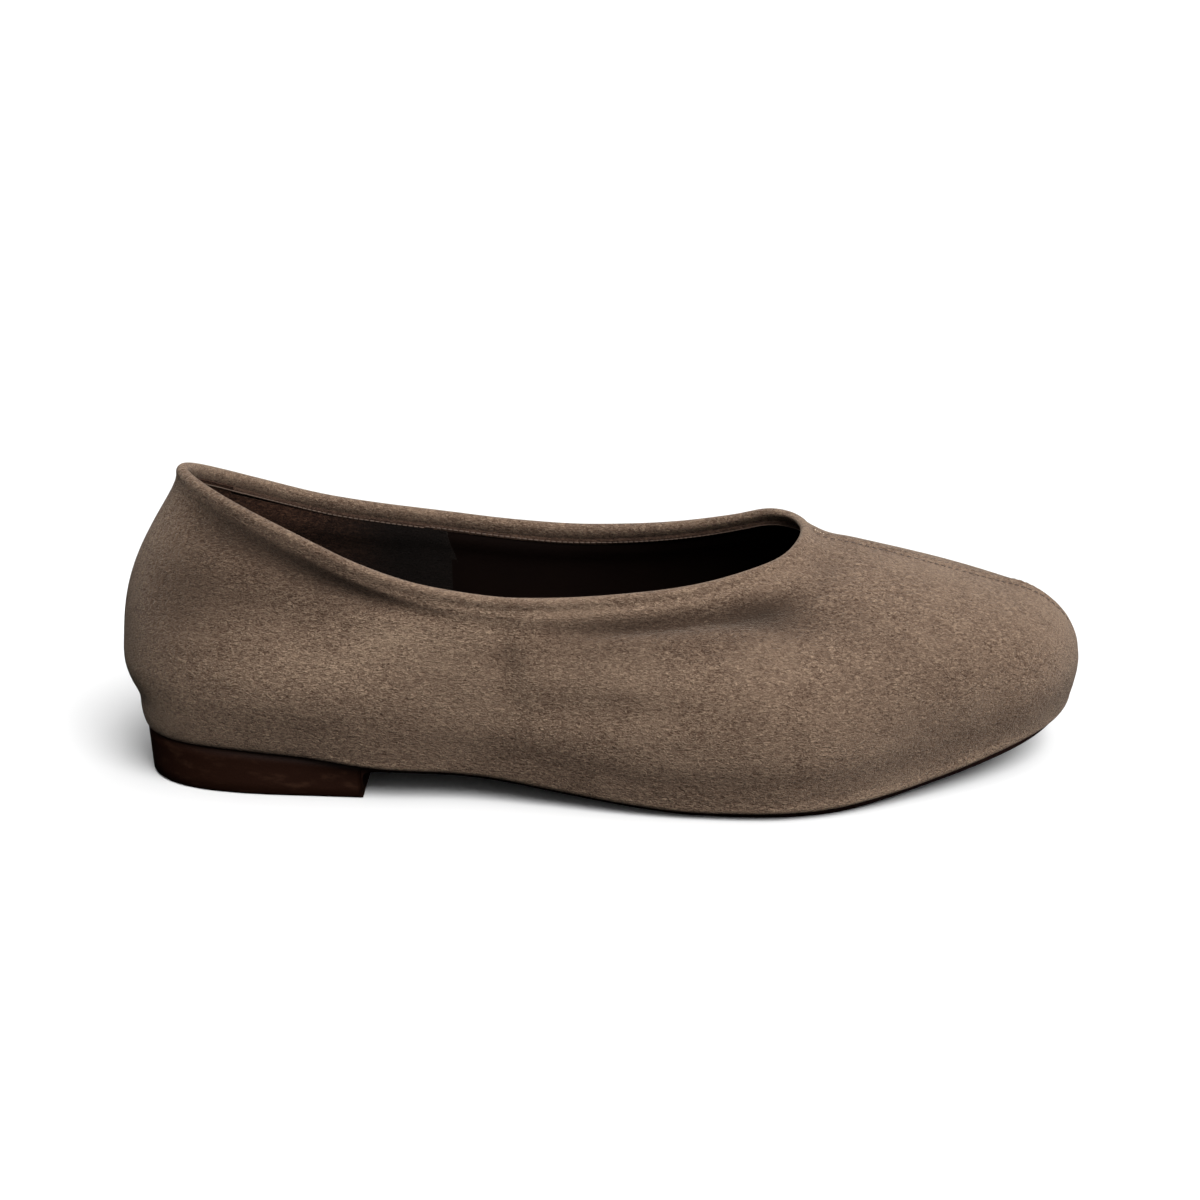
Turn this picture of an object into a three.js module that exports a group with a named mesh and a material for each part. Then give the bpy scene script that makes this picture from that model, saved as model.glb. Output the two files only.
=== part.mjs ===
// Ballet flat, right foot, standing empty on its sole.
// Millimetres, +Z up. x runs from the back of the heel to the toe, +y is the inner
// (medial) side of the foot, -y the outer (lateral) side, and the floor is z = 0.
import * as THREE from 'three';

// Last: length, widths and heights of the finished shoe
const LENGTH = 250.5;        // back of the heel to the tip of the toe
const BALL_WIDTH = 88;       // sole across the ball, before the toe swings inward
const COLLAR_WIDTH = 60;     // opening, edge to edge at its middle
const BACK_HEIGHT = 80.0;    // top of the collar at the back of the heel
const THROAT_HEIGHT = 61.0;  // instep: top of the collar at the throat
const TOE_HEIGHT = 44;       // crest of the toe box where it turns down
const SIDE_DIP = 17.5;       // collar's drop below the line from back to throat
const COLLAR_LEAN = 18.6;    // back of the collar ahead of the back of the heel
const VAMP_LENGTH = 73.5;    // throat to the tip of the toe
const TOE_DOME = 18;         // end of the vamp's crest to the tip of the toe
const TOE_SWING = 10;        // tip of the toe inward of the heel's centreline

// Sole unit
const SOLE_THICKNESS = 1.8;
const HEEL_RISE = 10.2;      // underside of the sole above the floor at the heel
const TOE_SPRING = 12.5;     // underside of the sole above the floor at the tip
const HEEL_LENGTH = 58.6;    // back of the sole to the breast of the heel
const HEEL_TAPER = 0.5;      // inset of the heel's foot on each side
const BREAST_FILLET = 3.0;   // radius where the breast meets the waist
const EDGE_BEVEL = 0.5;      // rounding of the sole's bottom edge

// Upper and insole
const OVERHANG = 5.0;        // widest line beyond the sole's edge at the back of the heel
const LEDGE = 3.0;           // upper's lower edge beyond the sole's edge at the waist
const WALL = 1.8;            // suede and lining together
const SEAT_WIDTH = 1.8;      // flat lower edge of the upper that lies on the sole
const ROLL_RADIUS = 1.8;     // padded roll along the collar
const INSOLE_THICKNESS = 2.6;
const GAP = 0.3;             // between pieces that meet

// Facets
const QUARTER_COLUMNS = 40;
const VAMP_COLUMNS = 18;
const TURN_ROWS = 5;         // rows from the sole's edge to the widest line
const SIDE_ROWS = 9;         // rows from the widest line to the collar or crest
const SOLE_STATIONS = 48;    // from heel to toe
const ROLL_STEPS = 6;        // round the roll from the wall's outer face to its inner face
const FILLET_STEPS = 3;
const FAIR_COLUMNS = 11;     // columns on each side of the throat that are faired
const FAIR_ROUNDS = 24;

const SIDES = [-1, 1];       // lateral, medial
const UP = new THREE.Vector3(0, 0, 1);

// Monotone cubic curve through the rows of one column of a table
function monotone(x, y) {
  const last = x.length - 1;
  const rise = [];
  const slope = new Array(x.length);
  for (let i = 0; i < last; i++) rise.push((y[i + 1] - y[i]) / (x[i + 1] - x[i]));
  for (let i = 1; i < last; i++) {
    const before = x[i] - x[i - 1];
    const after = x[i + 1] - x[i];
    const nearer = 2 * after + before;
    const farther = after + 2 * before;
    slope[i] = rise[i - 1] * rise[i] <= 0
      ? 0
      : (nearer + farther) / (nearer / rise[i - 1] + farther / rise[i]);
  }
  slope[0] = (3 * rise[0] - slope[1]) / 2;
  slope[last] = (3 * rise[last - 1] - slope[last - 1]) / 2;
  return (at) => {
    const t = Math.min(Math.max(at, x[0]), x[last]);
    let i = 0;
    while (i < last - 1 && t > x[i + 1]) i++;
    const h = x[i + 1] - x[i];
    const u = (t - x[i]) / h;
    const v = 1 - u;
    return y[i] * v * v * (1 + 2 * u) + y[i + 1] * u * u * (3 - 2 * u)
      + h * u * v * (slope[i] * v - slope[i + 1] * u);
  };
}

// A table's first column is where each row stands; each other column becomes a curve
function table(names, rows) {
  const curves = {};
  names.split(' ').slice(1).forEach((name, k) => {
    curves[name] = monotone(rows.map((row) => row[0]), rows.map((row) => row[k + 1]));
  });
  return curves;
}

// Underside of the sole along its length: shares of HEEL_RISE and TOE_SPRING
const SOLE_LINE = table('along heel toe', [
  [0.00, 1.00, 0.00],
  [0.10, 1.00, 0.00],
  [0.18, 0.91, 0.00],
  [0.26, 0.72, 0.00],
  [0.34, 0.64, 0.00],
  [0.40, 0.48, 0.00],
  [0.46, 0.28, 0.00],
  [0.52, 0.12, 0.00],
  [0.58, 0.00, 0.00],
  [0.70, 0.00, 0.00],
  [0.77, 0.00, 0.12],
  [0.84, 0.00, 0.34],
  [0.92, 0.00, 0.66],
  [1.00, 0.00, 1.00],
]);

// The sole's edge beside an ellipse of its length and of BALL_WIDTH
const SOLE_EDGE = table('along lateral medial', [
  [0.00, 1.20, 1.20],
  [0.05, 1.05, 1.05],
  [0.12, 0.90, 0.90],
  [0.20, 0.80, 0.79],
  [0.28, 0.76, 0.70],
  [0.36, 0.72, 0.62],
  [0.44, 0.79, 0.63],
  [0.52, 0.91, 0.70],
  [0.60, 1.03, 0.80],
  [0.68, 1.15, 0.91],
  [0.74, 1.18, 0.98],
  [0.82, 1.16, 1.06],
  [0.88, 1.20, 1.13],
  [0.94, 1.30, 1.24],
  [1.00, 1.45, 1.36],
]);

// Middle of the shoe off the heel's centreline, as a share of TOE_SWING
const CENTRE = table('along swing', [
  [0.00, 0.00],
  [0.40, 0.00],
  [0.55, 0.08],
  [0.70, 0.32],
  [0.85, 0.68],
  [1.00, 1.00],
]);

// Collar: fullness beside an ellipse of the opening, its dip as a share of SIDE_DIP, the
// angle on the roll, in degrees above level, where the wall's outer face runs into it, and
// how far the wall's curve would carry on over the opening to the middle of the shoe
const COLLAR = table('along lateral medial lateralDip medialDip foot over', [
  [0.00, 0.75, 0.75, 0.00, 0.00, -45, 0.00],
  [0.05, 0.83, 0.83, 0.14, 0.18, -45, 0.00],
  [0.12, 0.90, 0.90, 0.32, 0.39, -45, 0.00],
  [0.20, 0.94, 0.94, 0.53, 0.58, -45, 0.00],
  [0.30, 0.98, 0.98, 0.80, 0.70, -45, 0.00],
  [0.40, 0.99, 0.99, 0.96, 0.75, -45, 0.00],
  [0.50, 1.00, 0.99, 1.00, 0.78, -45, 0.05],
  [0.60, 1.01, 1.00, 0.93, 0.76, -40, 0.20],
  [0.70, 1.04, 1.02, 0.80, 0.66, -35, 0.45],
  [0.80, 1.10, 1.06, 0.64, 0.49, -28, 0.75],
  [0.90, 1.20, 1.14, 0.40, 0.22, -15, 0.95],
  [0.96, 1.32, 1.36, 0.23, 0.02, -2, 1.00],
  [1.00, 1.45, 1.85, 0.00, 0.00, 10, 1.00],
]);

// Crest of the vamp from the throat forward: its fall from throat to toe height
const CREST = table('along fall', [
  [0.00, 0.00],
  [0.10, 0.02],
  [0.20, 0.15],
  [0.32, 0.28],
  [0.45, 0.42],
  [0.60, 0.59],
  [0.75, 0.77],
  [0.90, 0.93],
  [1.00, 1.00],
]);

// Walls round the shoe, from the back of the heel (0) to the tip of the toe (1):
// ledge and overhang are shares of LEDGE and OVERHANG, turn and low place the corner of
// the turn under the foot, widest is the height of the widest line up the wall, lift the
// pull straight up from that line, out and down the pull at the top edge, and fall how far
// that edge takes up the slope of the crest
const WALLS = table('round ledge overhang turn low widest lift out down fall', [
  [0.00, 0.00, 1.00, 0.32, 0.33, 0.30, 0.50, 0.47, 0.31, 0.00],
  [0.10, 0.25, 0.66, 0.55, 0.22, 0.30, 0.45, 0.42, 0.33, 0.00],
  [0.25, 0.40, 0.62, 0.80, 0.14, 0.31, 0.42, 0.30, 0.34, 0.00],
  [0.40, 0.95, 1.00, 0.86, 0.12, 0.30, 0.42, 0.26, 0.34, 0.00],
  [0.50, 0.95, 1.00, 0.86, 0.12, 0.27, 0.44, 0.28, 0.30, 0.00],
  [0.60, 0.55, 0.78, 0.86, 0.12, 0.24, 0.46, 0.36, 0.18, 0.15],
  [0.70, 0.45, 0.72, 0.84, 0.12, 0.22, 0.48, 0.46, 0.08, 0.55],
  [0.78, 0.50, 0.70, 0.80, 0.13, 0.24, 0.50, 0.54, 0.02, 0.90],
  [0.90, 0.40, 0.76, 0.65, 0.17, 0.30, 0.48, 0.60, 0.00, 1.00],
  [1.00, 0.30, 0.84, 0.55, 0.22, 0.34, 0.42, 0.54, 0.00, 1.00],
]);

// Columns of the wall in degrees round the collar, and where each one leaves the sole
const COLUMN_LEAN = table('collar sole', [
  [0, 0],
  [38, 30],
  [74, 60],
  [108, 90],
  [128, 105],
  [150, 117],
  [180, 126],
]);
const THROAT_ANGLE = THREE.MathUtils.degToRad(COLUMN_LEAN.sole(180));

const throatX = LENGTH - VAMP_LENGTH;
const crestEndX = LENGTH - TOE_DOME;
const soleBackX = OVERHANG;
const soleFrontX = LENGTH - OVERHANG * WALLS.overhang(1);
const breastX = soleBackX + HEEL_LENGTH;
const throatFoot = Math.sin(THREE.MathUtils.degToRad(COLLAR.foot(1)));
const crestStart = THROAT_HEIGHT - ROLL_RADIUS * (1 - throatFoot);
const crestSlope = (TOE_HEIGHT - crestStart) / (crestEndX - throatX);

const centreY = (x) => TOE_SWING * CENTRE.swing(x / LENGTH);
const underside = (x) => HEEL_RISE * SOLE_LINE.heel(x / LENGTH) + TOE_SPRING * SOLE_LINE.toe(x / LENGTH);
const soleTop = (x) => underside(x) + SOLE_THICKNESS;
const seat = (x) => soleTop(x) + GAP;
const sideName = (side) => (side < 0 ? 'lateral' : 'medial');
const mix = THREE.MathUtils.lerp;

// Point on the sole's edge in plan at an angle round the shoe, moved inward by inset
function solePoint(angle, side, inset = 0) {
  const edge = (a) => {
    const along = (1 - Math.cos(a)) / 2;
    const x = mix(soleBackX, soleFrontX, along);
    const half = BALL_WIDTH / 2 * Math.sin(a) * SOLE_EDGE[sideName(side)](along);
    return new THREE.Vector2(x, centreY(x) + side * half);
  };
  const point = edge(angle);
  const inward = planNormal(edge, angle, side).multiplyScalar(-inset);
  return point.add(inward);
}

// Outward normal of an edge in plan; at both ends it points along x
function planNormal(edge, angle, side) {
  const step = 1e-3;
  if (angle < step) return new THREE.Vector2(-1, 0);
  if (angle > Math.PI - step) return new THREE.Vector2(1, 0);
  const run = edge(angle + step).sub(edge(angle - step)).normalize();
  return new THREE.Vector2(-run.y, run.x).multiplyScalar(side);
}

// A column's place: its angle at the sole, and round the collar or forward on the crest
function columnPlace(i) {
  if (i <= QUARTER_COLUMNS) {
    const degrees = 180 * i / QUARTER_COLUMNS;
    return {
      sole: THREE.MathUtils.degToRad(COLUMN_LEAN.sole(degrees)),
      collar: THREE.MathUtils.degToRad(degrees),
      forward: 0,
    };
  }
  const share = (i - QUARTER_COLUMNS) / VAMP_COLUMNS;
  return { sole: mix(THROAT_ANGLE, Math.PI, share), collar: Math.PI, forward: Math.sin(Math.PI / 2 * share) };
}

// Middle of the collar's roll at an angle round the opening; past either end it carries
// on along the other side
function collarPoint(turn, side) {
  if (turn < 0) return collarPoint(-turn, -side);
  if (turn > Math.PI) return collarPoint(2 * Math.PI - turn, -side);
  const along = (1 - Math.cos(turn)) / 2;
  const x = mix(COLLAR_LEAN, throatX, along);
  const half = COLLAR_WIDTH / 2 * Math.sin(turn) * COLLAR[sideName(side)](along);
  const dip = SIDE_DIP * COLLAR[`${sideName(side)}Dip`](along);
  const z = mix(BACK_HEIGHT, THROAT_HEIGHT, along) - dip - ROLL_RADIUS;
  return new THREE.Vector3(x, centreY(x) * along + side * half, z);
}

// Section of the roll, from the wall's outer face over the top to its inner face
function rollSection(turn, side) {
  const step = 1e-3;
  const run = collarPoint(turn + step, side).sub(collarPoint(turn - step, side)).normalize();
  const out = run.clone().cross(UP).normalize().multiplyScalar(-side);
  const rise = run.clone().cross(out).multiplyScalar(side);
  const foot = THREE.MathUtils.degToRad(COLLAR.foot((1 - Math.cos(turn)) / 2));
  const centre = collarPoint(turn, side);
  const points = [];
  for (let k = 0; k <= ROLL_STEPS; k++) {
    const angle = mix(foot, Math.PI - foot, k / ROLL_STEPS);
    points.push(centre.clone()
      .addScaledVector(out, ROLL_RADIUS * Math.cos(angle))
      .addScaledVector(rise, ROLL_RADIUS * Math.sin(angle)));
  }
  return points;
}

// Top of a column: at the roll's foot as far as the throat, then on the crest of the vamp
function topPoint(place, side) {
  if (place.forward === 0) return rollSection(place.collar, side)[0];
  const x = mix(throatX, crestEndX, place.forward);
  return new THREE.Vector3(x, centreY(x), mix(crestStart, TOE_HEIGHT, CREST.fall(place.forward)));
}

// One column of the upper's outer face, from its lower edge to the collar or crest
function wallColumn(place, side) {
  const round = place.sole / Math.PI;
  const foot = solePoint(place.sole, side, -LEDGE * WALLS.ledge(round));
  const bulge = solePoint(place.sole, side, -OVERHANG * WALLS.overhang(round));
  const bottom = new THREE.Vector3(foot.x, foot.y, seat(foot.x));
  const top = topPoint(place, side);
  const widest = new THREE.Vector3(bulge.x, bulge.y, mix(bottom.z, top.z, WALLS.widest(round)));
  const corner = bottom.clone().lerp(widest, WALLS.turn(round));
  corner.z = mix(bottom.z, widest.z, WALLS.low(round));
  const points = new THREE.QuadraticBezierCurve3(bottom, corner, widest).getPoints(TURN_ROWS);
  const over = place.forward > 0 ? 0 : COLLAR.over((1 - Math.cos(place.collar)) / 2);
  const { curve, share } = curveThrough(widest, top, round, over);
  for (let k = 1; k < SIDE_ROWS; k++) points.push(curve.getPoint(share * k / SIDE_ROWS));
  return [...points, top];
}

// Both walls' columns, faired round the throat: each point there moves toward the middle of
// its neighbours in the columns beside it, most at the throat and less away from it
function wallColumns(side) {
  const columns = [];
  for (let i = 0; i <= QUARTER_COLUMNS + VAMP_COLUMNS; i++) columns.push(wallColumn(columnPlace(i), side));
  const rows = TURN_ROWS + SIDE_ROWS;
  for (let round = 0; round < FAIR_ROUNDS; round++) {
    for (let j = 1; j < rows; j++) {
      const row = columns.map((column) => column[j].clone());
      for (let k = 1 - FAIR_COLUMNS; k < FAIR_COLUMNS; k++) {
        const i = QUARTER_COLUMNS + k;
        const strength = Math.cos(Math.PI / 2 * k / FAIR_COLUMNS) ** 2 / 2;
        const middle = row[i - 1].clone().lerp(row[i + 1], 0.5);
        columns[i][j].lerpVectors(row[i], middle, strength);
      }
    }
  }
  return columns;
}

// The wall's curve from its widest point to an end
function wallCurve(widest, end, round) {
  const height = end.z - widest.z;
  const above = widest.clone().addScaledVector(UP, WALLS.lift(round) * height);
  const reach = new THREE.Vector3(widest.x - end.x, widest.y - end.y, 0).multiplyScalar(WALLS.out(round));
  const below = end.clone().add(reach);
  below.z += crestSlope * WALLS.fall(round) * reach.x - WALLS.down(round) * height;
  return new THREE.CubicBezierCurve3(widest, above, below, end);
}

// The curve that passes through the top of a column on its way to the middle of the shoe,
// and the share of it below that top. Toward the throat this makes quarter and vamp one
// surface, which the opening is cut from.
function curveThrough(widest, top, round, over) {
  const end = new THREE.Vector3(top.x, mix(top.y, centreY(top.x), over), top.z);
  if (Math.abs(end.y - top.y) < 1e-6) return { curve: wallCurve(widest, top, round), share: 1 };
  const steps = 40;
  const gone = (share) => Math.abs(wallCurve(widest, end, round).getPoint(share).y - end.y);
  let share = 1;
  let short = 0;
  for (let k = 0; k < steps; k++) {
    const half = (share + short) / 2;
    if (gone(half) > Math.abs(top.y - end.y)) short = half;
    else share = half;
  }
  for (let k = 0; k < steps; k++) {
    const miss = wallCurve(widest, end, round).getPoint(share).sub(top);
    end.x -= miss.x;
    end.z -= miss.z;
  }
  return { curve: wallCurve(widest, end, round), share };
}

// Indexed triangles, closed and facing out
function closedGeometry(points, triangles) {
  const faces = triangles.filter(([a, b, c]) => a !== b && b !== c && c !== a);
  const volume = faces.reduce((sum, [a, b, c]) => sum
    + points[a].dot(points[b].clone().cross(points[c])), 0);
  const facing = volume < 0 ? faces.map(([a, b, c]) => [a, c, b]) : faces;
  const geometry = new THREE.BufferGeometry();
  geometry.setAttribute('position', new THREE.Float32BufferAttribute(points.flatMap((p) => p.toArray()), 3));
  geometry.setIndex(facing.flat());
  return geometry;
}

function quad(triangles, a, b, c, d) {
  triangles.push([a, b, c], [a, c, d]);
}

// Upper: two side walls that share their end columns and, past the throat, the crest.
// The outer face, the roll, the inner face and the flat lower edge close on each other.
function upperGeometry() {
  const last = QUARTER_COLUMNS + VAMP_COLUMNS;
  const rows = TURN_ROWS + SIDE_ROWS;
  const shared = (i, j) => i === 0 || i === last || (j >= rows && i >= QUARTER_COLUMNS);
  const key = (side, i, j) => `${shared(i, j) ? 1 : side} ${i} ${j}`;
  const points = [];
  const ids = new Map();
  const put = (name, point) => ids.set(name, points.push(point) - 1);
  const outerId = (side, i, j) => ids.get(key(side, i, j));
  const eachPlace = (visit) => {
    for (const side of [1, -1]) {
      for (let i = 0; i <= last; i++) visit(side, i, columnPlace(i));
    }
  };
  for (const side of [1, -1]) {
    wallColumns(side).forEach((column, i) => column.forEach((point, j) => {
      if (!ids.has(key(side, i, j))) put(key(side, i, j), point);
    }));
  }

  const skin = [];
  const band = (triangles, side, i, j, idOf) => {
    const corners = [idOf(side, i, j), idOf(side, i + 1, j), idOf(side, i + 1, j + 1), idOf(side, i, j + 1)];
    quad(triangles, ...(side < 0 ? corners : corners.reverse()));
  };
  for (const side of SIDES) {
    for (let i = 0; i < last; i++) {
      for (let j = 0; j < rows; j++) band(skin, side, i, j, outerId);
    }
  }
  const count = points.length;
  const normals = points.map(() => new THREE.Vector3());
  for (const [a, b, c] of skin) {
    const across = points[b].clone().sub(points[a]).cross(points[c].clone().sub(points[a]));
    for (const k of [a, b, c]) normals[k].add(across);
  }
  for (let k = 0; k < count; k++) points.push(points[k].clone().addScaledVector(normals[k].normalize(), -WALL));
  eachPlace((side, i, place) => {
    const edge = solePoint(place.sole, side, SEAT_WIDTH);
    points[outerId(side, i, 0) + count].set(edge.x, edge.y, seat(edge.x));
    if (i > QUARTER_COLUMNS) return;
    const roll = rollSection(place.collar, side);
    points[outerId(side, i, rows) + count].copy(roll[ROLL_STEPS]);
    for (let k = 1; k < ROLL_STEPS; k++) {
      if (!ids.has(key(side, i, rows + k))) put(key(side, i, rows + k), roll[k]);
    }
  });
  const rollId = (side, i, j) => (j === rows + ROLL_STEPS ? outerId(side, i, rows) + count : outerId(side, i, j));
  const edgeId = (side, i, j) => outerId(side, i, 0) + (j ? 0 : count);

  const triangles = skin.concat(skin.map(([a, b, c]) => [a + count, c + count, b + count]));
  for (const side of SIDES) {
    for (let i = 0; i < last; i++) {
      band(triangles, side, i, 0, edgeId);
      if (i >= QUARTER_COLUMNS) continue;
      for (let k = 0; k < ROLL_STEPS; k++) band(triangles, side, i, rows + k, rollId);
    }
  }
  return closedGeometry(points, triangles);
}

// A flat piece under the foot: rings of its edge from the top face to the bottom face.
// Each station has an angle round the shoe, each ring an inset and a height there.
function plate(stations, rings) {
  const points = [];
  const triangles = [];
  const width = stations.length;
  const at = (ring, side, i) => (ring * 2 + (side > 0 ? 1 : 0)) * width + i;
  rings.forEach((ring) => SIDES.forEach((side) => stations.forEach((station) => {
    const edge = solePoint(station.angle, side, ring.inset(station));
    points.push(new THREE.Vector3(edge.x, edge.y, ring.height(station, edge.x)));
  })));
  const bottom = rings.length - 1;
  for (let i = 0; i < width - 1; i++) {
    quad(triangles, at(0, -1, i), at(0, -1, i + 1), at(0, 1, i + 1), at(0, 1, i));
    quad(triangles, at(bottom, 1, i), at(bottom, 1, i + 1), at(bottom, -1, i + 1), at(bottom, -1, i));
    for (let r = 0; r < bottom; r++) {
      quad(triangles, at(r, 1, i), at(r, 1, i + 1), at(r + 1, 1, i + 1), at(r + 1, 1, i));
      quad(triangles, at(r + 1, -1, i), at(r + 1, -1, i + 1), at(r, -1, i + 1), at(r, -1, i));
    }
  }
  return merged(points, triangles);
}

// Points that fall together become one
function merged(points, triangles) {
  const tolerance = 1e-3;
  const kept = [];
  const keys = new Map();
  const target = points.map((point) => {
    const key = point.toArray().map((value) => Math.round(value / tolerance)).join(' ');
    if (!keys.has(key)) {
      keys.set(key, kept.length);
      kept.push(point);
    }
    return keys.get(key);
  });
  return closedGeometry(kept, triangles.map((face) => face.map((k) => target[k])));
}

const angleAt = (x) => Math.acos(1 - 2 * (x - soleBackX) / (soleFrontX - soleBackX));

// Sole unit: the sole and its low heel, moulded in one
function soleUnit() {
  const floorOf = (x) => (x < breastX ? 0 : underside(x));
  const clear = 1;           // no other station this close to the breast
  const stations = [];
  for (let i = 0; i <= SOLE_STATIONS; i++) {
    const angle = Math.PI * i / SOLE_STATIONS;
    const x = mix(soleBackX, soleFrontX, (1 - Math.cos(angle)) / 2);
    if (x < breastX - clear || x > breastX + BREAST_FILLET + clear) {
      stations.push({ angle, floor: floorOf, heel: x < breastX });
    }
  }
  const breast = [{ angle: angleAt(breastX), floor: () => 0, heel: true }];
  for (let k = 0; k <= FILLET_STEPS; k++) {
    const turn = Math.PI / 2 * k / FILLET_STEPS;
    const x = breastX + BREAST_FILLET * (1 - Math.cos(turn));
    const floor = underside(x) - BREAST_FILLET * (1 - Math.sin(turn));
    breast.push({ angle: angleAt(x), floor: () => floor, heel: false });
  }
  const all = [...stations, ...breast].sort((a, b) => a.angle - b.angle || b.heel - a.heel);
  const rings = [
    { inset: () => 0, height: (station, x) => soleTop(x) },
    { inset: (station) => (station.heel ? HEEL_TAPER : 0), height: (station, x) => station.floor(x) + EDGE_BEVEL },
    {
      inset: (station) => (station.heel ? HEEL_TAPER : 0) + EDGE_BEVEL,
      height: (station, x) => station.floor(x),
    },
  ];
  return plate(all, rings);
}

// Insole: lies on the sole inside the upper's lower edge
function insoleBoard() {
  const stations = [];
  for (let i = 0; i <= SOLE_STATIONS; i++) stations.push({ angle: Math.PI * i / SOLE_STATIONS });
  const edge = SEAT_WIDTH + GAP;
  return plate(stations, [
    { inset: () => edge + EDGE_BEVEL, height: (station, x) => seat(x) + INSOLE_THICKNESS },
    { inset: () => edge, height: (station, x) => seat(x) + INSOLE_THICKNESS - EDGE_BEVEL },
    { inset: () => edge, height: (station, x) => seat(x) },
  ]);
}

function piece(name, geometry, color, roughness) {
  const mesh = new THREE.Mesh(geometry, new THREE.MeshStandardMaterial({ color, roughness, metalness: 0 }));
  mesh.name = name;
  return mesh;
}

const shoe = new THREE.Group();
shoe.add(piece('upper', upperGeometry(), 0x76634f, 0.95));
shoe.add(piece('outsole', soleUnit(), 0x1a100a, 0.55));
shoe.add(piece('insole', insoleBoard(), 0x2a1d16, 0.8));

// Origin at the middle of the footprint's box, on the floor
const box = new THREE.Box3().setFromObject(shoe);
const middle = box.getCenter(new THREE.Vector3());
shoe.position.set(-middle.x, -middle.y, 0);

export default shoe;
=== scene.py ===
"""Ballet flat, right foot: soft suede upper with a padded collar, dark lining and a thin dark sole.

Lengths in the tables are millimetres in the shoe's own frame: x from heel to toe, y to the inner
side of the foot, z up from the floor.
"""
import math

import bmesh
import bpy
import numpy as np
from mathutils import Matrix, Vector
from mathutils.bvhtree import BVHTree


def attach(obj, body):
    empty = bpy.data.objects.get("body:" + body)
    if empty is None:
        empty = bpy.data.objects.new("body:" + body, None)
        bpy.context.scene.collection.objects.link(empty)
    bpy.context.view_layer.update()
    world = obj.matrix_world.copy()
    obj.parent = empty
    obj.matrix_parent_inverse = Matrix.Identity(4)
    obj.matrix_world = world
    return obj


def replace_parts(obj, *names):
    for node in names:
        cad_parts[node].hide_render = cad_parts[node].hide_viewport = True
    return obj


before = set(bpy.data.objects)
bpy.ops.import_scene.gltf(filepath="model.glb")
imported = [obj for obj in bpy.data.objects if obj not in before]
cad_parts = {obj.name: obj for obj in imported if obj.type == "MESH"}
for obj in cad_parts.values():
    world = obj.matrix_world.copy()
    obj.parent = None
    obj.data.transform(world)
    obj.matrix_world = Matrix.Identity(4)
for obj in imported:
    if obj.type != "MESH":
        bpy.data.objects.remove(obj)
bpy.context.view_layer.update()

MM = 0.001

# Middle of the collar's roll: outer side from the back to the throat, then the inner side back
COLLAR_LINE = [
    (-106.7, 1.6, 78.2), (-105.1, -2.9, 77.5), (-100.6, -7.8, 75.6), (-93.3, -12.9, 72.6),
    (-83.5, -17.8, 68.6), (-71.5, -22.1, 63.6), (-57.8, -25.6, 58.1), (-42.9, -27.6, 53.7),
    (-27.5, -28.4, 51.2), (-12.0, -28.1, 50.5), (2.9, -26.8, 50.9), (16.6, -24.7, 51.5),
    (28.6, -21.4, 52.9), (38.4, -16.7, 54.5), (45.7, -10.9, 56.0), (50.2, -3.5, 58.3),
    (51.8, 4.9, 59.2), (50.2, 14.7, 59.3), (45.7, 20.1, 59.6), (38.4, 23.2, 57.9),
    (28.6, 26.1, 55.7), (16.6, 28.5, 54.1), (2.9, 30.1, 53.3), (-12.0, 31.1, 53.5),
    (-27.5, 31.3, 55.1), (-42.9, 30.7, 57.4), (-57.8, 28.8, 60.0), (-71.5, 25.3, 63.2),
    (-83.5, 21.0, 67.4), (-93.3, 16.1, 71.5), (-100.6, 10.9, 75.1), (-105.1, 6.1, 77.4),
]

# Middle seam of the vamp, from the throat over the crest and down the toe
VAMP_SEAM = [
    (51.4, 4.8, 60.4), (54.2, 4.9, 59.6), (57.3, 5.2, 59.2), (62.8, 5.6, 57.2), (68.4, 5.8, 55.5),
    (73.9, 6.0, 53.8), (79.5, 6.2, 52.2), (85.1, 6.6, 50.4), (90.6, 7.0, 48.5), (96.1, 7.6, 46.7),
    (101.7, 8.2, 45.0), (107.3, 8.6, 44.0), (113.4, 8.6, 41.3), (118.8, 8.4, 37.3), (122.7, 8.2, 32.4),
    (124.8, 8.0, 26.9), (124.4, 8.0, 21.2), (123.0, 8.0, 16.6),
]

# Soft trough under the padded collar, by x along the collar: how far below the roll's middle
# it runs, its depth and its half width, and how far the padding above it stands proud
# The depth also sets how much painted shade lies in each trough
OUTER_TROUGH = [
    (-106, 6.4, 0.1, 4.5, 0.0),
    (-98, 6.4, 1.2, 4.6, 0.2),
    (-82, 6.6, 2.1, 4.2, 0.6),
    (-67, 6.2, 2.2, 3.4, 0.8),
    (-58, 5.6, 1.8, 2.5, 0.8),
    (-48, 5.2, 1.0, 2.0, 0.6),
    (-38, 5.2, 0.4, 2.0, 0.5),
    (-22, 6.0, 0.2, 2.0, 0.4),
    (-10, 6.8, 0.8, 1.9, 0.5),
    (6, 7.4, 1.9, 2.0, 0.6),
    (20, 7.8, 2.6, 2.6, 0.6),
    (31, 9.4, 2.3, 3.2, 0.5),
    (41, 11.0, 0.8, 3.4, 0.2),
    (48, 10.0, 0.3, 3.4, 0.0),
    (52, 9.0, 0.1, 3.4, 0.0),
]
INNER_TROUGH = [
    (-106, 7.6, 0.1, 4.5, 0.0),
    (-98, 7.6, 0.8, 4.6, 0.3),
    (-80, 7.6, 1.5, 4.0, 0.7),
    (-50, 5.8, 1.2, 2.4, 0.6),
    (0, 5.8, 1.0, 2.2, 0.5),
    (32, 6.6, 1.0, 3.0, 0.3),
    (46, 8.6, 0.2, 4.0, 0.0),
]
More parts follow.
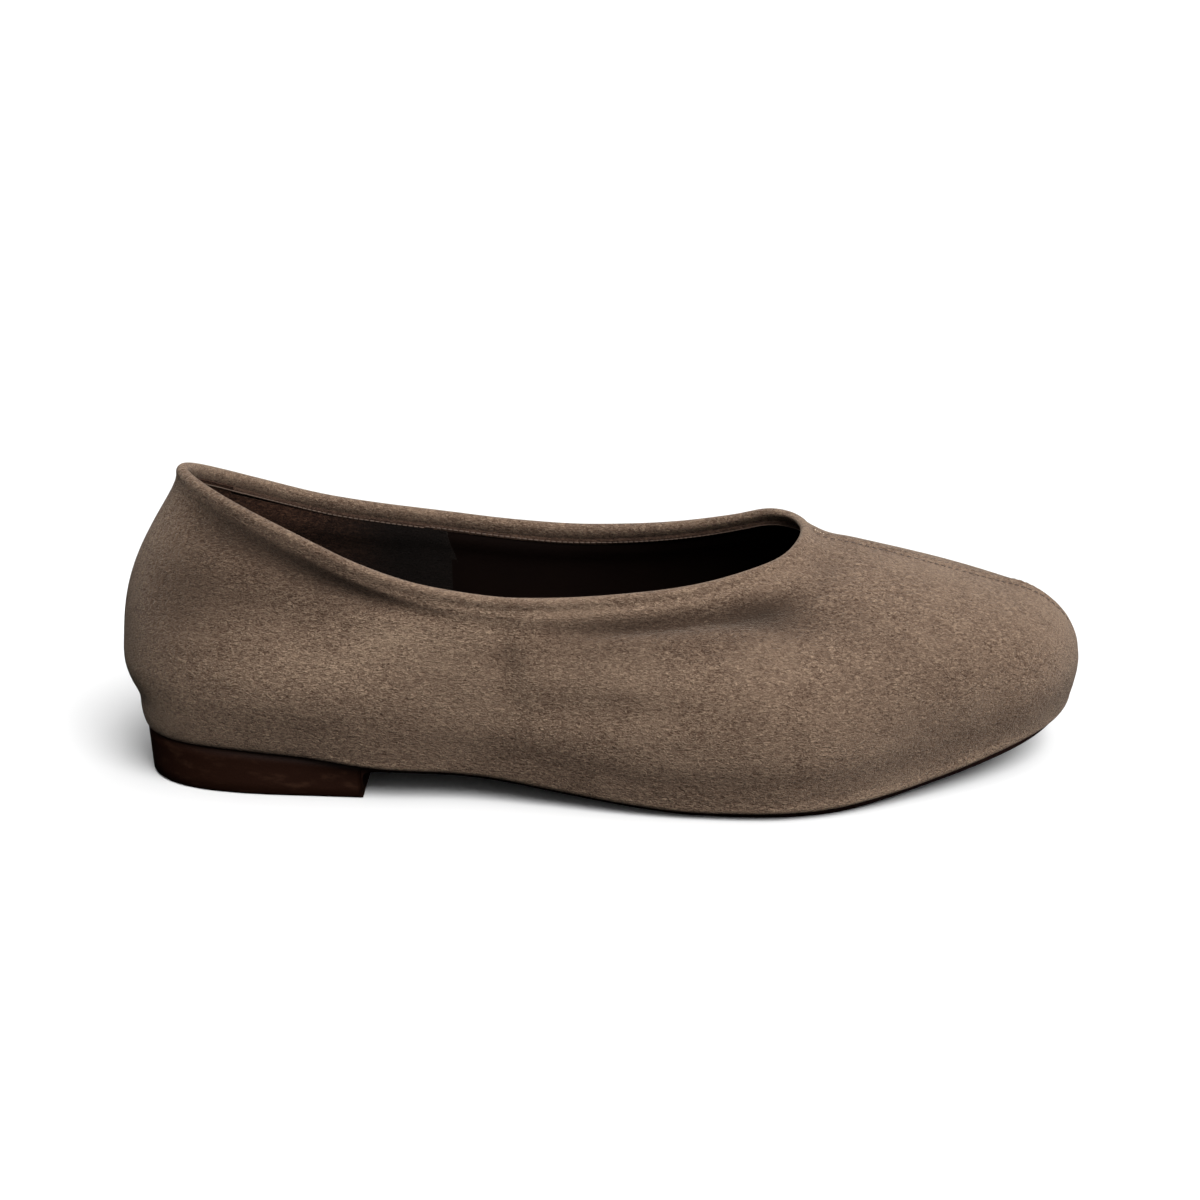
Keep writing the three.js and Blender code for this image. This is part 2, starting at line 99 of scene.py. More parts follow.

# Hollows (depth above zero) and swells (below) in the upper: middle, the three half lengths
# along x, y and z, depth, and how much painted shade lies there, or painted light below zero
HOLLOWS = [
    ((42, -28, 46.5), (13, 8, 4), 1.4, 0.9),
    ((62, -24, 44), (12, 10, 5), 0.4, 0.2),
    ((55, -9, 55), (5, 5, 4), 0.5, 0.2),
    ((-24.7, -33, 38), (3.4, 9, 8), 1.3, 0.3),
    ((-17, -36, 33), (4.0, 9, 9), -0.5, 0.0),
    ((8, -33, 42), (28, 10, 6), 0.3, 0.45),
    ((-84, -26, 51), (26, 12, 8), 1.6, 0.45),
    ((-78, -31, 28), (24, 14, 10), -2.4, -0.1),
    ((-26, -30, 46), (12, 9, 5), 0.0, -0.45),
    ((-51, -30, 43), (12, 10, 6), 0.0, -0.8),
    ((-69, -31, 36), (14, 12, 7), 0.0, -0.4),
    ((-92, -28, 25), (14, 12, 7), 0.0, -0.3),
    ((-106, -18, 54), (14, 12, 14), 0.3, 0.8),
    ((-114, -12, 24), (12, 12, 8), 0.0, -0.45),
    ((-121, 1.5, 29), (9, 22, 5), -0.8, 0.0),
    ((-121, 1.5, 21), (9, 22, 3.0), 0.8, 0.3),
    ((28, -42, 30), (26, 14, 9), -0.9, 0.0),
    ((2, -38, 27), (26, 12, 4), 1.1, 0.1),
    ((74, -32, 30), (20, 14, 12), 0.0, 0.25),
    ((80, -28, 18), (14, 14, 6), 0.8, 0.25),
    ((97, -25, 22), (8, 11, 9), 0.6, 0.15),
]

# Flange that the upper makes where it turns under, and the drawn-in band above it, by their
# distance from the sole's edge
FLANGE_MIDDLE, FLANGE_HALF, FLANGE_SWELL = 2.2, 1.3, 0.75
BAND_MIDDLE, BAND_HALF, BAND_DEPTH = 8.5, 3.8, 0.5

# Middle of the shoe in plan: places along x, and y at each of them
MIDDLE_X = [-75, -25, 25, 52, 75, 100, 125]
MIDDLE_Y = [1.6, 1.6, 2.9, 4.9, 7.1, 9.4, 11.5]
INSIDE_HEIGHT = 27.0  # height of the middle of the foot's room

# Facing inside the collar: its top under the roll's middle, its width and its thickness
FACING_TOP, FACING_WIDTH, FACING_THICKNESS = 2.5, 1.6, 0.85
FACING_EDGE = [(0, -0.3), (0, 0.5), (0.18, 0.9), (0.5, 1), (0.82, 0.9), (1, 0.5), (1, -0.3)]

# Half section of the vamp seam: off its middle, and above the suede
SEAM_EDGE = [
    (0.0, 0.02), (0.3, 0.3), (0.9, 0.4), (1.6, 0.16), (2.0, 0.0), (2.4, 0.12), (2.8, 0.02), (3.4, -0.3),
]
SEAM_ROWS = (-2.0, 2.0)
SEAM_STITCH_END = 34  # lowest height that still has stitches

STITCH_LENGTH, STITCH_RADIUS = 1.5, 0.2

# Photograph's camera: place in millimetres, turns in radians, focal length and width in pixels
PHOTO_PLACE = (-2.85, -462.42, 187.3)
PHOTO_YAW, PHOTO_PITCH, PHOTO_ROLL = 0.003, 0.303, -0.012
PHOTO_FOCAL, PHOTO_WIDTH = 1878.7, 1200


class Amount:
    """A shader socket's output, which Python's own signs add, take away and multiply."""

    def __init__(self, finish, socket):
        self.finish = finish
        self.socket = socket

    def _by(self, operation, first, second):
        return self.finish.node("ShaderNodeMath", {"operation": operation}, {0: first, 1: second})

    def __add__(self, other):
        return self._by("ADD", self, other)

    def __sub__(self, other):
        return self._by("SUBTRACT", self, other)

    def __rsub__(self, other):
        return self._by("SUBTRACT", other, self)

    def __mul__(self, other):
        return self._by("MULTIPLY", self, other)

    __radd__ = __add__
    __rmul__ = __mul__


class Finish:
    """One material, made of nodes on the piece's own Object coordinates."""

    def __init__(self, name, **surface):
        self.material = bpy.data.materials.new(name)
        self.material.use_nodes = True
        self.tree = self.material.node_tree
        self.tree.nodes.clear()
        self.shader = self.tree.nodes.new("ShaderNodeBsdfPrincipled")
        end = self.tree.nodes.new("ShaderNodeOutputMaterial")
        self.tree.links.new(self.shader.outputs[0], end.inputs[0])
        for socket, value in surface.items():
            self.shader.inputs[socket.replace("_", " ")].default_value = value
        self.place = self.node("ShaderNodeTexCoord", {}, {}, "Object")

    def node(self, kind, settings, values, output=0):
        made = self.tree.nodes.new(kind)
        for name, value in settings.items():
            if name == "stops":
                self._stops(made.color_ramp, value)
            else:
                setattr(made, name, value)
        for name, value in values.items():
            if isinstance(value, Amount):
                self.tree.links.new(value.socket, made.inputs[name])
            else:
                made.inputs[name].default_value = value
        return Amount(self, made.outputs[output])

    @staticmethod
    def _stops(ramp, stops):
        while len(ramp.elements) < len(stops):
            ramp.elements.new(0.5)
        for element, (position, colour) in zip(ramp.elements, stops):
            element.position = position
            element.color = (*colour, 1)

    def feed(self, name, value):
        self.tree.links.new(value.socket, self.shader.inputs[name])

    def stretched(self, x, y, z):
        return self.node("ShaderNodeMapping", {"vector_type": "POINT"}, {
            "Vector": self.place, "Scale": (x, y, z),
        })

    def cloud(self, size, place=None, detail=2.0, roughness=0.5, twist=0.0):
        """Noise from 0 to 1 whose patches are about that many millimetres across."""
        return self.node("ShaderNodeTexNoise", {}, {
            "Vector": place or self.place,
            "Scale": 1 / (size * MM),
            "Detail": detail,
            "Roughness": roughness,
            "Distortion": twist,
        })

    def between(self, amount, low, high):
        """0 below low, 1 above high, and an even curve between them."""
        return self.node("ShaderNodeMapRange", {"interpolation_type": "SMOOTHSTEP"}, {
            "Value": amount, "From Min": low, "From Max": high,
        })

    def blended(self, share, first, second):
        return self.node("ShaderNodeMix", {"data_type": "RGBA"}, {0: share, 6: first, 7: second}, 2)

    def ramp(self, amount, *stops):
        return self.node("ShaderNodeValToRGB", {"stops": stops}, {0: amount})

    def bump(self, height, distance):
        return self.node("ShaderNodeBump", {}, {"Height": height, "Distance": distance * MM, "Strength": 1.0})


def linear(red, green, blue):
    """A colour seen on screen, 0 to 255, as the light that it stands for."""
    shares = [value / 255 for value in (red, green, blue)]
    return tuple(((c + 0.055) / 1.055) ** 2.4 if c > 10 / 255 else c / 12.92 for c in shares)


def suede(name, deep, shade, tint, nap=1.0, fuzz=0.3, painted_fade=None):
    """Napped suede: wavy lying tufts, fine fibres and brushed patches, with painted shade in the folds and
    hollows and painted light on some patches, from a mesh attribute.

    Where two places along x are given for the fade, painted shade darkens the suede to near black from the
    first to the second, for the shade deep inside the shoe.
    """
    finish = Finish(name, Roughness=0.92, Specular_IOR_Level=0.15, Sheen_Weight=fuzz, Sheen_Roughness=0.36,
                    Sheen_Tint=(1.0, 0.84, 0.7, 1))
    tufts = finish.cloud(0.5, finish.stretched(0.5, 0.8, 1.05), 2.0, 0.55, 1.1)
    fibres = finish.cloud(0.26, finish.stretched(0.6, 1, 1), 2.0, 0.7)
    clumps = finish.cloud(6.0, finish.stretched(0.6, 1, 1), 3.0, 0.55, 0.6)
    brushed = finish.between(finish.cloud(24.0, None, 3.0, 0.55, 0.5), 0.42, 0.66)
    # Painted shade and light: a mesh attribute, above zero for painted shade in folds, hollows and inside,
    # below zero for painted light
    fold = finish.node("ShaderNodeAttribute", {"attribute_name": "fold"}, {}, "Fac")
    lit = tufts * 0.64 + fibres * 0.28 + clumps * 0.08
    share = (lit - 0.5) * (3.6 * nap - brushed * (1.2 * nap)) + brushed * 0.12 + 0.46 - fold * 0.3
    colour = finish.ramp(share, (0.0, deep), (0.5, shade), (1.0, tint))
    # Painted shade: blends towards a dark copy of the mid tone where the attribute is high
    colour = finish.blended(fold * 0.5, colour, (*(c * 0.22 for c in shade), 1))
    # Painted shade: towards the front of the heel grip the suede darkens to near black, where the inside of
    # the shoe lies in shade
    if painted_fade:
        along = finish.node("ShaderNodeSeparateXYZ", {}, {0: finish.place}, "X")
        shade_paint = finish.between(along + (tufts - 0.5) * (6 * MM), painted_fade[0] * MM, painted_fade[1] * MM)
        colour = finish.blended(shade_paint * 0.98, colour, (*linear(9, 4, 2), 1))
    finish.feed("Base Color", colour)
    height = tufts * 0.8 + fibres * 0.25 + clumps * 0.6
    finish.feed("Normal", finish.bump(height, 0.85 * nap))
    return finish.material


def lining_leather():
    """Thin dark lining with a fine pebbled grain."""
    finish = Finish("lining_leather", Specular_IOR_Level=0.04)
    grain = finish.node("ShaderNodeTexVoronoi", {"feature": "F1"}, {"Scale": 1 / (0.9 * MM)})
    rubbed = finish.cloud(14.0, None, 3.0, 0.6)
    finish.feed("Base Color", finish.blended(rubbed, (*linear(8, 3, 2), 1), (*linear(17, 8, 5), 1)))
    finish.feed("Roughness", 0.55 + rubbed * 0.25)
    finish.feed("Normal", finish.bump(grain, 0.06))
    return finish.material


def sole_rubber():
    """Moulded rubber, nearly black brown, with a faint matt grain and scuffs."""
    finish = Finish("sole_rubber", Specular_IOR_Level=0.2)
    grain = finish.cloud(0.5, None, 3.0, 0.6)
    scuffs = finish.between(finish.cloud(7.0, finish.stretched(1, 1, 3), 4.0, 0.65), 0.5, 0.75)
    finish.feed("Base Color", finish.blended(scuffs, (*linear(38, 18, 9), 1), (*linear(56, 33, 20), 1)))
    finish.feed("Roughness", 0.5 + scuffs * 0.2 + grain * 0.12)
    finish.feed("Normal", finish.bump(grain, 0.05))
    return finish.material


def thread(name, colour):
    """Twisted sewing thread."""
    finish = Finish(name, Roughness=0.6, Sheen_Weight=0.2, Sheen_Roughness=0.4)
    strands = finish.cloud(0.35, None, 2.0, 0.5)
    finish.feed("Base Color", finish.blended(strands, (*colour, 1), (*(min(1, c * 1.7) for c in colour), 1)))
    finish.feed("Normal", finish.bump(strands, 0.05))
    return finish.material


def only(piece):
    """Selects one piece and nothing else."""
    bpy.ops.object.select_all(action="DESELECT")
    piece.select_set(True)
    bpy.context.view_layer.objects.active = piece


def finished(piece, slot, *materials):
    """Gives the piece its materials, and lets it ride with the shoe; the slot is not used."""
    piece.data.materials.clear()
    for material in materials:
        piece.data.materials.append(material)
    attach(piece, "root")
    return piece


def copy_of(node, name):
    """A merged copy of a node's mesh, in four-sided faces, ready to be shaped."""
    piece = bpy.data.objects.new(name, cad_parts[node].data.copy())
    bpy.context.scene.collection.objects.link(piece)
    only(piece)
    bpy.ops.object.mode_set(mode="EDIT")
    bpy.ops.mesh.select_all(action="SELECT")
    bpy.ops.mesh.remove_doubles(threshold=0.02 * MM)
    bpy.ops.mesh.tris_convert_to_quads(face_threshold=math.radians(50), shape_threshold=math.radians(60))
    bpy.ops.object.mode_set(mode="OBJECT")
    if "custom_normal" in piece.data.attributes:
        piece.data.attributes.remove(piece.data.attributes["custom_normal"])
    return piece


def smoothed(piece, levels, sharp=180.0):
    """Subdivides a piece, holding the edges that are sharper than that many degrees."""
    work = bmesh.new()
    work.from_mesh(piece.data)
    crease = work.edges.layers.float.new("crease_edge")
    for edge in work.edges:
        if len(edge.link_faces) == 2 and edge.calc_face_angle(0) > math.radians(sharp):
            edge[crease] = 1.0
    work.to_mesh(piece.data)
    work.free()
    only(piece)
    surface = piece.modifiers.new("smooth", "SUBSURF")
    surface.levels = surface.render_levels = levels
    bpy.ops.object.modifier_apply(modifier=surface.name)
    bpy.ops.object.shade_smooth()
    return piece


def run_through(points, steps, closed=False):
    """Points in metres along an even curve through a table's points, that many to a stretch."""
    line = []
    count = len(points)
    at = (lambda k: points[k % count]) if closed else (lambda k: points[min(max(k, 0), count - 1)])
    for k in range(count if closed else count - 1):
        a, b, c, d = (Vector(at(k + o)) for o in (-1, 0, 1, 2))
        for step in range(steps):
            t = step / steps
            line.append((b * 2 + (c - a) * t + (a * 2 - b * 5 + c * 4 - d) * t * t
                         + (b * 3 - a - c * 3 + d) * t ** 3) * 0.5 * MM)
    if not closed:
        line.append(Vector(points[-1]) * MM)
    return line


def spaced(line, gap):
    """Points every gap millimetres along a line, each with its direction."""
    places = []
    left = 0.0
    for a, b in zip(line, line[1:]):
        length = (b - a).length
        while left <= length:
            places.append((a.lerp(b, left / length), (b - a).normalized()))
            left += gap * MM
        left -= length
    return places


def middle_line(x):
    """Middle of the shoe at x, in millimetres."""
    return np.interp(x, MIDDLE_X, MIDDLE_Y)


def coordinates(piece):
    points = np.empty(len(piece.data.vertices) * 3)
    piece.data.vertices.foreach_get("co", points)
    return points.reshape(-1, 3) / MM


def facing_out(points, normals):
    """How far each point's normal looks away from the middle of the foot, -1 to 1."""
    x = np.clip(points[:, 0], -40, 10)
    middle = np.stack([x, middle_line(x), np.full(len(x), INSIDE_HEIGHT)], 1)
    away = points - middle
    away /= np.linalg.norm(away, axis=1, keepdims=True)
    return (away * normals).sum(1)


def under_collar(points):
    """For each point, the distance to the middle of the roll and the nearest place there."""
    line = np.array(run_through(COLLAR_LINE, 12, closed=True)) / MM
    best = np.full(len(points), 1e9)
    nearest = np.zeros((len(points), 3))
    for start in range(0, len(points), 8000):
        part = points[start:start + 8000]
        gaps = np.linalg.norm(part[:, None] - line[None], axis=2)
        k = gaps.argmin(1)
        best[start:start + 8000] = gaps[np.arange(len(part)), k]
        nearest[start:start + 8000] = line[k]
    return best, nearest


def press_creases(piece, sole):
    """Moves the wall, both faces together, into the trough under the collar and the hollows.

    Gives each point's painted shade: above 0 in the folds, hollows and drawn-in band and on the inner faces
    under the roll, below 0 for painted light on the flange and some patches.
    """
    points = coordinates(piece)
    normals = np.array([vertex.normal[:] for vertex in piece.data.vertices])
    facing = np.clip(facing_out(points, normals) * 4, -1, 1)
    drop, nearest = under_collar(points)
    clear = np.clip((drop - 2.0) / 1.6, 0, 1)
    clear *= clear * (3 - 2 * clear)
    pushed = np.zeros(len(points))
    fold = np.zeros(len(points))
    medial = nearest[:, 1] > middle_line(nearest[:, 0])
    for table, here in ((OUTER_TROUGH, ~medial), (INNER_TROUGH, medial)):
        rows = np.array(table)
        low, depth, half, proud = (np.interp(nearest[:, 0], rows[:, 0], rows[:, k]) for k in (1, 2, 3, 4))
        trough = np.exp(-((drop - low) / half) ** 2)
        padding = np.exp(-((drop - low * 0.5) / (low * 0.3)) ** 2)
        pushed += np.where(here, (proud * padding - depth * trough) * clear, 0)
        # Painted shade in the trough, more where it is deeper
        fold += np.where(here, np.minimum(depth / 1.6, 1) * trough, 0)
    # Painted shade in the hollows, and painted light where the table's last column is below zero
    for middle, reach, depth, shade_paint in HOLLOWS:
        near = np.exp(-(((points - np.array(middle)) / np.array(reach)) ** 2).sum(1))
        pushed -= depth * near
        fold += shade_paint * near
    gaps = np.array([sole.find_nearest(Vector(point) * MM)[3] for point in points]) / MM
    flange = np.exp(-((gaps - FLANGE_MIDDLE) / FLANGE_HALF) ** 2) * np.clip((points[:, 0] + 75) / 20, 0, 1)
    band = np.exp(-((gaps - BAND_MIDDLE) / BAND_HALF) ** 2) * np.clip((points[:, 0] + 60) / 25, 0, 1)
    flange *= 1 - 0.5 * np.clip((points[:, 0] - 85) / 20, 0, 1)
    pushed += flange * FLANGE_SWELL - band * BAND_DEPTH * np.clip((105 - points[:, 0]) / 30, 0, 1)
    # Painted shade along the drawn-in band and painted light along the flange
    fold += band * 0.35 - flange * 0.45
    points += normals * (pushed * facing)[:, None]
    piece.data.vertices.foreach_set("co", (points * MM).ravel())
    piece.data.update()
    # Inner faces get painted shade from 1.6 mm under the roll's middle down, for the dark inside of the shoe
    return np.where(facing > 0, fold, np.clip((drop - 1.6) / 1.2, 0, 1))


def inner_skin(name, source, sole, top, thickness, front=None):
    """A thin layer on the inside of the upper, from top millimetres under the roll down."""
    piece = bpy.data.objects.new(name, source.data.copy())
    bpy.context.scene.collection.objects.link(piece)
    middles = np.array([face.center[:] for face in piece.data.polygons]) / MM
    normals = np.array([face.normal[:] for face in piece.data.polygons])
    chosen = (facing_out(middles, normals) < 0) & (under_collar(middles)[0] > top)
    only(piece)
    bpy.ops.object.mode_set(mode="EDIT")
    bpy.ops.mesh.select_mode(type="FACE")
    bpy.ops.mesh.select_all(action="DESELECT")
    bpy.ops.object.mode_set(mode="OBJECT")
    piece.data.polygons.foreach_set("select", ~chosen)
    bpy.ops.object.mode_set(mode="EDIT")
    bpy.ops.mesh.delete(type="FACE")
    if front is not None:
        bpy.ops.mesh.select_all(action="SELECT")
        bpy.ops.mesh.bisect(plane_co=(front * MM, 0, 0.04), plane_no=(1, 0, 0.35), clear_outer=True)
    bpy.ops.object.mode_set(mode="OBJECT")
    press_creases(piece, sole)
    wall = piece.modifiers.new("wall", "SOLIDIFY")
    wall.thickness = thickness * MM
    wall.offset = 1
    bpy.ops.object.modifier_apply(modifier=wall.name)
    if front is not None:
        points = coordinates(piece)
        normals = np.array([vertex.normal[:] for vertex in piece.data.vertices])
        thinned = np.clip((points[:, 0] - front + 9) / 9, 0, 1) * (facing_out(points, normals) < 0)
        points -= normals * (thinned * thickness * 0.95)[:, None]
        piece.data.vertices.foreach_set("co", (points * MM).ravel())
    bpy.ops.object.shade_smooth_by_angle(angle=math.radians(60))
    return piece


def surface_of(piece, inside=None):
    """What finds the nearest place on a piece; inside keeps only its inner or its outer faces."""
    faces = [tuple(face.vertices) for face in piece.data.polygons]
    if inside is not None:
        middles = np.array([face.center[:] for face in piece.data.polygons]) / MM
        normals = np.array([face.normal[:] for face in piece.data.polygons])
        out = facing_out(middles, normals)
        faces = [face for face, value in zip(faces, out) if (value < 0) == inside]
    return BVHTree.FromPolygons([vertex.co for vertex in piece.data.vertices], faces)


def swept(name, rings, closed):
    """A closed skin over rings of points; a closed run joins its last ring to its first."""
    work = bmesh.new()
    loops = [[work.verts.new(point) for point in ring] for ring in rings]
    pairs = list(zip(loops, loops[1:])) + ([(loops[-1], loops[0])] if closed else [])
    for first, second in pairs:
        for k in range(len(first)):
            n = (k + 1) % len(first)
            work.faces.new((first[k], first[n], second[n], second[k]))
    if not closed:
        work.faces.new(loops[0])
        work.faces.new(reversed(loops[-1]))
    bmesh.ops.recalc_face_normals(work, faces=work.faces)
    mesh = bpy.data.meshes.new(name)
    work.to_mesh(mesh)
    work.free()
    piece = bpy.data.objects.new(name, mesh)
    bpy.context.scene.collection.objects.link(piece)
    only(piece)
    bpy.ops.object.shade_smooth_by_angle(angle=math.radians(50))
    return piece


def facing_strip(wall):
    """Narrow suede facing sewn to the inside of the wall, just under the roll."""
    line = run_through(COLLAR_LINE, 10, closed=True)
    count = len(line)
    rings = []
    seats = []
    for k in range(count):
        along = (line[(k + 1) % count] - line[k - 1]).normalized()
        down = (Vector((0, 0, -1)) + along * along.z).normalized()
        inward = Vector((-0.02, 0.002, line[k].z)) - line[k]
        start = line[k] + (inward - along * inward.dot(along)).normalized() * 0.8 * MM
        ring = []
        for share, height in FACING_EDGE:
            spot = wall.find_nearest(start + down * (FACING_TOP + FACING_WIDTH * share) * MM)
            ring.append(spot[0] + spot[1] * height * FACING_THICKNESS * MM)
        rings.append(ring)
        spot = wall.find_nearest(start + down * (FACING_TOP + FACING_WIDTH * 0.55) * MM)
        seats.append((spot[0] + spot[1] * FACING_THICKNESS * MM, spot[1], along))
    return swept("collar_facing", rings, True), seats


def stitch_model(length, radius):
    """One stitch, lying along x: a short rod with rounded ends, sunk at both."""
    bpy.ops.object.select_all(action="DESELECT")
    bpy.ops.mesh.primitive_cylinder_add(vertices=6, radius=radius * MM, depth=length * 0.55 * MM,
                                        rotation=(0, math.pi / 2, 0))
    stitch = bpy.context.active_object
    bpy.ops.object.transform_apply(location=True, rotation=True, scale=True)
    bpy.ops.object.mode_set(mode="EDIT")
    for side in (-1, 1):
        bpy.ops.mesh.select_all(action="DESELECT")
        bpy.ops.object.mode_set(mode="OBJECT")
        for face in stitch.data.polygons:
            face.select = face.normal.x * side > 0.9
        bpy.ops.object.mode_set(mode="EDIT")
        bpy.ops.mesh.extrude_region_move(TRANSFORM_OT_translate={
            "value": (side * length * 0.22 * MM, 0, -radius * 0.9 * MM)})
        bpy.ops.transform.resize(value=(0.6, 0.6, 0.6))
    bpy.ops.object.mode_set(mode="OBJECT")
    bpy.ops.object.shade_smooth()
    return stitch


def row_of(name, model, seats):
    """Copies of a model as one piece, each seated on a point with its normal and direction."""
    work = bmesh.new()
    for point, normal, along in seats:
        side = normal.cross(along).normalized()
        forward = side.cross(normal).normalized()
        turn = Matrix((forward, side, normal)).transposed().to_4x4()
        copy = model.data.copy()
        copy.transform(Matrix.Translation(point) @ turn)
        work.from_mesh(copy)
        bpy.data.meshes.remove(copy)
    mesh = bpy.data.meshes.new(name)
    work.to_mesh(mesh)
    work.free()
    piece = bpy.data.objects.new(name, mesh)
    bpy.context.scene.collection.objects.link(piece)
    return piece


def vamp_seam(skin):
    """The raised seam down the middle of the vamp, with the seats of its stitches and its tack."""
    line = run_through(VAMP_SEAM, 12)
    rings = []
    section = [(-off, height) for off, height in reversed(SEAM_EDGE[1:])] + SEAM_EDGE
    for k, point in enumerate(line):
        along = (line[min(k + 1, len(line) - 1)] - line[max(k - 1, 0)]).normalized()
        seat, normal = skin.find_nearest(point)[:2]
        side = normal.cross(along).normalized()
        ring = []
        whole = min(1, (k + 0.01) / 14, (len(line) - 1 - k + 0.01) / 40)
        for offset, height in section:
            spot = skin.find_nearest(seat + side * offset * MM)
            ring.append(spot[0] + spot[1] * (height * whole - 0.2 * (1 - whole)) * MM)
        spot = skin.find_nearest(seat)
        rings.append(ring + [spot[0] - spot[1] * 0.6 * MM])
    seats = []
    for point, along in spaced(line, 1.9)[2:]:
        seat, normal = skin.find_nearest(point)[:2]
        if seat.z < SEAM_STITCH_END * MM:
            continue
        side = normal.cross(along).normalized()
        for offset in SEAM_ROWS:
            spot = skin.find_nearest(seat + side * offset * MM)
            seats.append((spot[0] + spot[1] * 0.08 * MM, spot[1], along))
    tack = []
    for point, along in spaced(line, 0.8)[4:8]:
        seat, normal = skin.find_nearest(point)[:2]
        tack.append((seat + normal * 0.15 * MM, normal, normal.cross(along).normalized()))
    return swept("vamp_seam", rings, False), seats, tack


def photo_camera():
    """The camera at the photograph's place, height, tilt and lens."""
    ahead = Vector((math.sin(PHOTO_YAW), math.cos(PHOTO_YAW), 0))
    forward = ahead * math.cos(PHOTO_PITCH) - Vector((0, 0, math.sin(PHOTO_PITCH)))
    level = Vector((math.cos(PHOTO_YAW), -math.sin(PHOTO_YAW), 0))
    above = level.cross(forward)
    right = level * math.cos(PHOTO_ROLL) + above * math.sin(PHOTO_ROLL)
    up = above * math.cos(PHOTO_ROLL) - level * math.sin(PHOTO_ROLL)
    camera = bpy.data.objects.new("camera", bpy.data.cameras.new("camera"))
    bpy.context.scene.collection.objects.link(camera)
    turn = Matrix((right, up, -forward)).transposed().to_4x4()
    camera.matrix_world = Matrix.Translation(Vector(PHOTO_PLACE) * MM) @ turn
    camera.data.sensor_width = 36
    camera.data.lens = 36 * PHOTO_FOCAL / PHOTO_WIDTH
    camera.data.clip_start = 0.01
    bpy.context.scene.camera = camera


def dome():
    """Light all round, bright above and in front on the toe's side, and faint below and behind."""
    world = bpy.context.scene.world or bpy.data.worlds.new("world")
    bpy.context.scene.world = world
    world.use_nodes = True
    nodes, links = world.node_tree.nodes, world.node_tree.links
    place = nodes.new("ShaderNodeTexCoord")
    aim = nodes.new("ShaderNodeVectorMath")
    aim.operation = "DOT_PRODUCT"
    aim.inputs[1].default_value = Vector((0.6, -0.4, 0.7)).normalized()
    glow = nodes.new("ShaderNodeMapRange")
    glow.interpolation_type = "SMOOTHSTEP"
    for socket, value in (("From Min", 0.05), ("From Max", 0.95), ("To Min", 0.0), ("To Max", 1.5)):
        glow.inputs[socket].default_value = value
    links.new(place.outputs["Generated"], aim.inputs[0])
    links.new(aim.outputs["Value"], glow.inputs["Value"])
    height = nodes.new("ShaderNodeSeparateXYZ")
    rise = nodes.new("ShaderNodeMapRange")
    rise.interpolation_type = "SMOOTHSTEP"
    for socket, value in (("From Min", 0.15), ("From Max", 0.75), ("To Min", 0.14), ("To Max", 1.0)):
        rise.inputs[socket].default_value = value
    strength = nodes.new("ShaderNodeMath")
    strength.operation = "MULTIPLY"
    links.new(place.outputs["Generated"], height.inputs[0])
    links.new(height.outputs["Z"], rise.inputs["Value"])
    links.new(glow.outputs[0], strength.inputs[0])
    links.new(rise.outputs[0], strength.inputs[1])
    links.new(strength.outputs[0], nodes["Background"].inputs["Strength"])
    nodes["Background"].inputs["Color"].default_value = (1, 1, 1, 1)


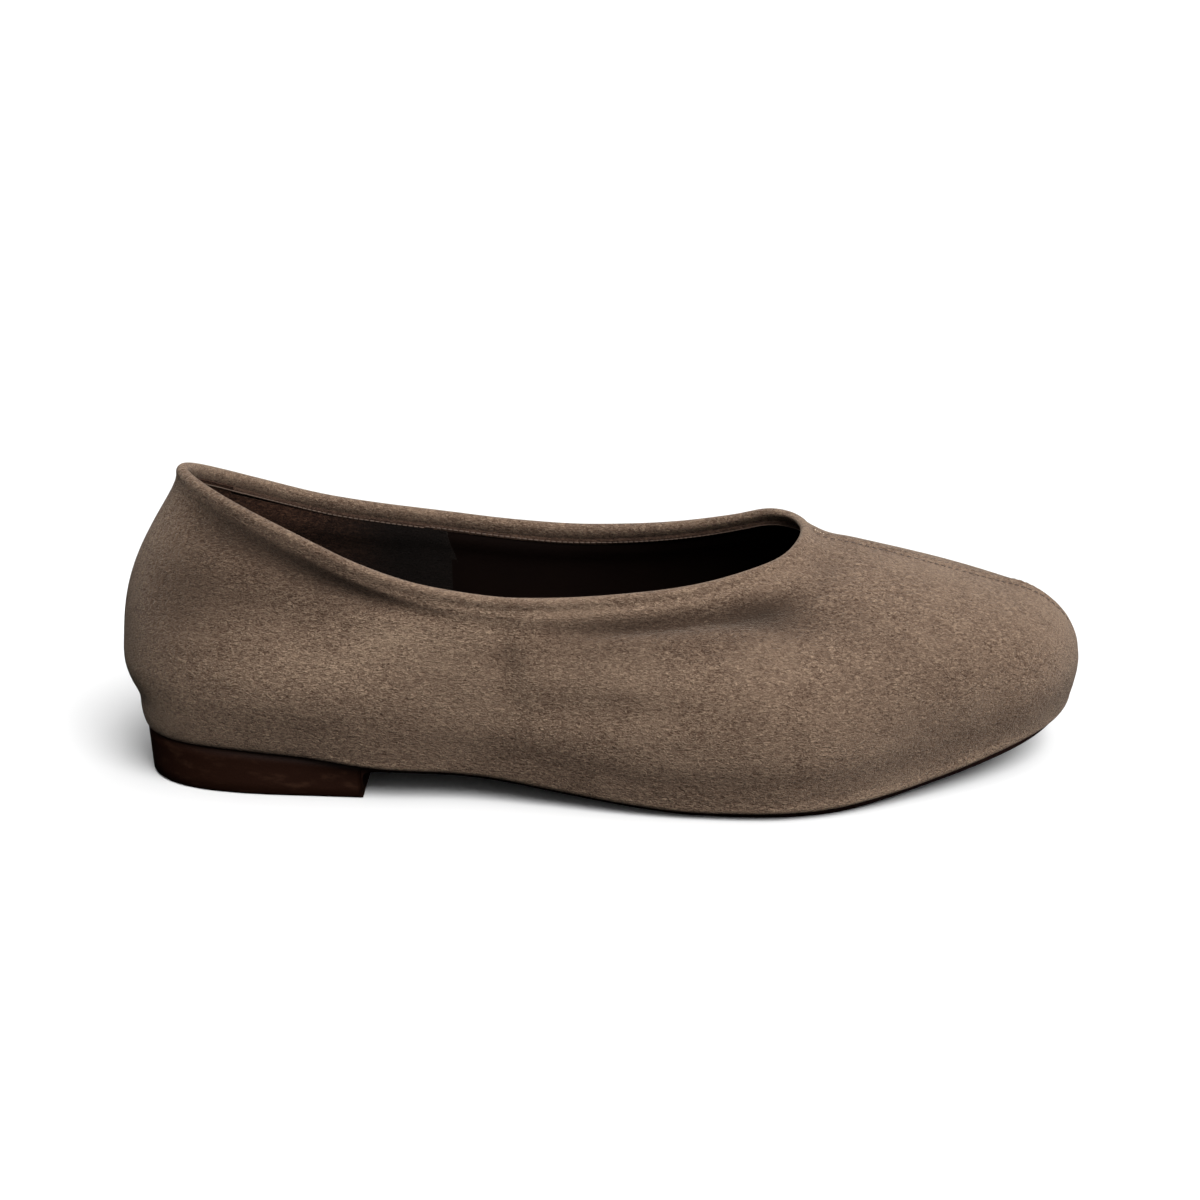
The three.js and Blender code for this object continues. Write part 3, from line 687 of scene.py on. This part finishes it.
def studio():
    """White floor with a low white wall round it, and soft light from above."""
    bpy.ops.object.select_all(action="DESELECT")
    bpy.ops.mesh.primitive_circle_add(vertices=96, radius=7, fill_type="NGON", location=(0, 0, -0.0001))
    floor = bpy.context.active_object
    floor.name = "floor"
    white = Finish("floor_white", Base_Color=(0.9, 0.9, 0.9, 1), Roughness=0.9, Specular_IOR_Level=0.1)
    floor.data.materials.append(white.material)
    bpy.ops.mesh.primitive_cylinder_add(vertices=96, radius=6.9, depth=1.4, end_fill_type="NOTHING",
                                        location=(0, 0, 0.6))
    wall = bpy.context.active_object
    wall.name = "wall"
    bright = Finish("wall_white", Base_Color=(0.9, 0.9, 0.9, 1), Roughness=0.9, Emission_Color=(1, 1, 1, 1),
                    Emission_Strength=0.9)
    wall.data.materials.append(bright.material)
    for stage in (floor, wall):
        stage.visible_diffuse = stage.visible_glossy = False
    dome()
    sun = bpy.data.lights.new("key_light", "SUN")
    sun.energy = 2.8
    sun.angle = math.radians(34)
    key = bpy.data.objects.new("key_light", sun)
    bpy.context.scene.collection.objects.link(key)
    key.rotation_euler = Vector((0.4, -0.68, 0.9)).to_track_quat("Z", "Y").to_euler()
    bpy.context.scene.view_settings.view_transform = "Standard"


photo_camera()
studio()

taupe = suede("taupe_suede", linear(76, 57, 45), linear(119, 98, 82), linear(160, 137, 115))
# Heel grip suede, with painted shade taking it to near black towards the front
grip_suede = suede("grip_suede", linear(22, 10, 6), linear(50, 30, 21), linear(84, 59, 45), 1.3, 0.05,
                   painted_fade=(-88, -54))
facing_suede = suede("facing_suede", linear(34, 21, 15), linear(62, 45, 36), linear(92, 72, 58), 0.9, 0.1)
lining = lining_leather()
rubber = sole_rubber()
seam_thread = thread("seam_thread", linear(58, 43, 34))
tack_thread = thread("tack_thread", linear(176, 158, 138))
facing_thread = thread("facing_thread", linear(76, 60, 49))

outsole_skin = surface_of(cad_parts["outsole"])
upper = smoothed(copy_of("upper", "suede_upper"), 1)
quarter_lining = inner_skin("quarter_lining", upper, outsole_skin, 3.0, 0.35)
heel_grip = inner_skin("heel_grip", upper, outsole_skin, 3.0, 0.8, front=-38)
smoothed(upper, 1)
# Painted shade and light for the suede, kept on the upper as a mesh attribute
fold = press_creases(upper, outsole_skin)
upper.data.attributes.new("fold", "FLOAT", "POINT").data.foreach_set("value", fold)
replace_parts(finished(upper, "suede", taupe), "upper")
finished(quarter_lining, "lining", lining)
finished(heel_grip, "suede", grip_suede)

facing, facing_seats = facing_strip(surface_of(upper, inside=True))
finished(facing, "suede", facing_suede)
stitch = stitch_model(STITCH_LENGTH, STITCH_RADIUS)
finished(row_of("facing_stitches", stitch, facing_seats), "suede", facing_thread)
seam, seam_seats, tack_seats = vamp_seam(surface_of(upper, inside=False))
finished(seam, "suede", taupe)
finished(row_of("vamp_stitches", stitch, seam_seats), "suede", seam_thread)
finished(row_of("throat_tack", stitch, tack_seats), "suede", tack_thread)
bpy.data.objects.remove(stitch)

outsole = smoothed(copy_of("outsole", "moulded_sole"), 2, sharp=28)
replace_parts(finished(outsole, "sole", rubber), "outsole")
insole = smoothed(copy_of("insole", "sock_insole"), 2, sharp=35)
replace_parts(finished(insole, "lining", lining), "insole")
